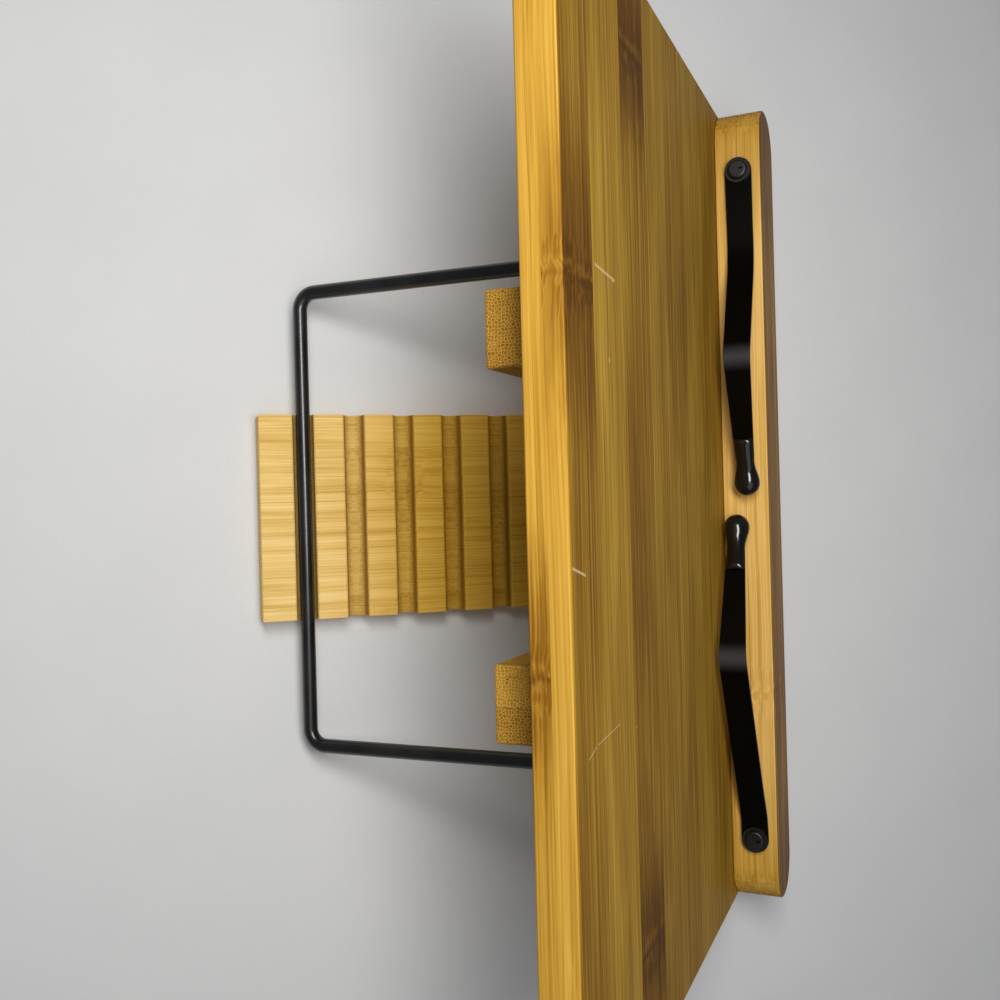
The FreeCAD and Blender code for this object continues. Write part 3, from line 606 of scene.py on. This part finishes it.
# ---------------------------------------------------------------- dipped tips of the page clips
STRAP_REACH = 131.0 * MM     # from the clip's screw to the strap's end
STRAP_THICK = 1.2 * MM
CREST_AT = 80.0 * MM         # from the clip's screw to the crest
TIP_HEIGHT = 5.2 * MM        # the strap's underside above the ledge, at its end
CLIPS = (
    # side, its sign along X, turn about the screw in degrees, height of the crest in mm
    ("left", -1, 1.5, 29.0), ("right", 1, -0.55, 19.0))
TIP_RINGS = (
    # the dip's outline: place from the strap's end, half width and half height, in mm
    (-19.0, 3.30, 0.95), (-19.25, 3.52, 1.55), (-18.9, 3.86, 2.15), (-18.2, 4.02, 2.62), (-17.2, 3.92, 2.74),
    (-15.6, 3.74, 2.70), (-12.5, 3.62, 2.72), (-9.5, 3.66, 2.85), (-7.2, 3.86, 3.10), (-5.2, 4.28, 3.50),
    (-3.6, 4.74, 3.95), (-2.0, 5.10, 4.40), (-0.4, 5.28, 4.78), (1.2, 5.16, 4.86), (2.6, 4.66, 4.52),
    (3.8, 3.78, 3.80), (4.7, 2.55, 2.70), (5.15, 1.30, 1.45))
TIP_NOSE = (5.3, -0.2)       # the bulb's foremost point: ahead of the strap's end and above its middle
BULB_START = -6.0            # behind this place the dip is a flattened sleeve
SLEEVE_SQUARENESS = 0.86     # exponent that squares up the sleeve's section; 1 gives an ellipse
DROOP, DROOP_AT, DROOP_REACH = 0.35, 1.0, 9.0    # how the bulb sags: depth, place and reach
SIDES = 32                   # points round each ring


def rounded(value, exponent):
    """A sine or cosine raised to a power, with its sign kept."""
    return math.copysign(abs(value) ** exponent, value)


def tip_ring(place, wide, high):
    """One ring of the dip as (ahead, across, above), in mm from the middle of the strap's end."""
    droop = -DROOP * max(0.0, 1 - abs(place - DROOP_AT) / DROOP_REACH)
    exponent = 1.0 if place > BULB_START else SLEEVE_SQUARENESS
    for step in range(SIDES):
        angle = math.tau * step / SIDES
        yield (place, rounded(math.cos(angle), exponent) * wide,
               rounded(math.sin(angle), exponent) * high + droop)


def tip_faces():
    """Quads between neighbouring rings and a fan at each end, whose middles are the last two points."""
    faces = []
    for ring in range(len(TIP_RINGS) - 1):
        for step in range(SIDES):
            here, beside = ring * SIDES + step, ring * SIDES + (step + 1) % SIDES
            faces.append((here, beside, beside + SIDES, here + SIDES))
    first = len(TIP_RINGS) * SIDES
    base = first - SIDES
    for step in range(SIDES):
        faces.append((first, (step + 1) % SIDES, step))
        faces.append((first + 1, base + step, base + (step + 1) % SIDES))
    return faces


def clip_tip(side, sign, turn, rise):
    """The dip on one clip, along the strap's end as it slopes down from its crest."""
    ahead = Matrix.Rotation(-sign * math.radians(turn), 3, PANEL_UP) @ Vector((-sign, 0, 0))
    fall = math.atan2(rise * MM - TIP_HEIGHT, STRAP_REACH - CREST_AT)
    along = ahead * math.cos(fall) - PANEL_UP * math.sin(fall)
    above = ahead * math.sin(fall) + PANEL_UP * math.cos(fall)
    across = above.cross(along)
    screw = Vector(joints[f"clip_swivel_{side}"]["pos_m"])
    end = screw + ahead * STRAP_REACH + PANEL_UP * (TIP_HEIGHT + STRAP_THICK / 2)
    spots = [spot for ring in TIP_RINGS for spot in tip_ring(*ring)]
    spots += [(TIP_RINGS[0][0], 0.0, 0.0), (TIP_NOSE[0], 0.0, TIP_NOSE[1])]
    points = [end + (along * x + across * y + above * z) * MM for x, y, z in spots]
    mesh = bpy.data.meshes.new(f"clip_tip_{side}_dip")
    mesh.from_pydata(points, [], tip_faces())
    mesh.validate()
    for polygon in mesh.polygons:
        polygon.use_smooth = True
    piece = bpy.data.objects.new(f"clip_tip_{side}_dip", mesh)
    bpy.context.scene.collection.objects.link(piece)
    smoothing = piece.modifiers.new("smooth", "SUBSURF")
    smoothing.levels = smoothing.render_levels = 2
    dress(piece, "dipped_plastic")
    return piece


for side, sign, turn, rise in CLIPS:
    piece = clip_tip(side, sign, turn, rise)
    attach(piece, f"clip_{side}")
    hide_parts(f"clip_tip_{side}")

# ---------------------------------------------------------------- floor, light and camera
# lengths in metres
FLOOR_HALF = 2.0
FLOOR_TONES = (0.640, 0.644, 0.652), (0.700, 0.702, 0.707)
LIGHTS = (
    # name, place, aim, width, height, power in watts, colour
    ("lamp", (0.12, 0.11, 0.52), (0.0, 0.05, 0.05), 0.12, 0.38, 2.47, (1.0, 0.99, 0.965)),
    ("overhead", (-0.75, 0.18, 1.55), (-0.08, -0.04, 0.05), 1.2, 1.2, 4.1, (0.97, 0.985, 1.0)))
SKY_COLOUR = (0.93, 0.96, 1.0, 1.0)
SKY_STRENGTH = 0.13
CAMERA_PLACE = (0.00453, 0.14519, 0.40581)
CAMERA_TURN = (0.517, -18.168, -91.581)    # in degrees about X, Y and Z
CAMERA_LENS = 36.0           # in millimetres, on a sensor of the same width


def cloth_floor():
    made = Shader("floor_cloth")
    spot = made.place()
    made.set(Base_Color=made.mix(made.noise(spot, 0.02, 3.0)[0], *FLOOR_TONES), Roughness=0.9,
             Specular_IOR_Level=0.2)
    made.bump(made.noise(spot, 1.1, 2.0)[0], 0.4 * MM, 0.25)
    return made


floor_mesh = bpy.data.meshes.new("floor")
floor_mesh.from_pydata(
    [(-FLOOR_HALF, -FLOOR_HALF, 0), (FLOOR_HALF, -FLOOR_HALF, 0),
     (FLOOR_HALF, FLOOR_HALF, 0), (-FLOOR_HALF, FLOOR_HALF, 0)], [], [(0, 1, 2, 3)])
floor_mesh.materials.append(cloth_floor().material)
floor = bpy.data.objects.new("floor", floor_mesh)
bpy.context.scene.collection.objects.link(floor)


def softbox(name, place, aim, width, height, power, colour):
    lamp = bpy.data.lights.new(name, "AREA")
    lamp.shape = "RECTANGLE"
    lamp.size, lamp.size_y = width, height
    lamp.energy = power
    lamp.color = colour
    holder = bpy.data.objects.new(name, lamp)
    holder.location = place
    holder.rotation_euler = (Vector(aim) - Vector(place)).to_track_quat("-Z", "Y").to_euler()
    holder.visible_camera = False
    bpy.context.scene.collection.objects.link(holder)


for light in LIGHTS:
    softbox(*light)
world = bpy.data.worlds.new("studio")
world.use_nodes = True
sky = world.node_tree.nodes["Background"]
sky.inputs["Color"].default_value = SKY_COLOUR
sky.inputs["Strength"].default_value = SKY_STRENGTH
bpy.context.scene.world = world

camera = bpy.data.cameras.new("camera")
camera.lens = CAMERA_LENS
camera.sensor_width = CAMERA_LENS
camera.clip_start = 0.01
viewer = bpy.data.objects.new("camera", camera)
viewer.location = CAMERA_PLACE
viewer.rotation_euler = [math.radians(angle) for angle in CAMERA_TURN]
bpy.context.scene.collection.objects.link(viewer)
bpy.context.scene.camera = viewer
bpy.context.scene.view_settings.view_transform = "Standard"
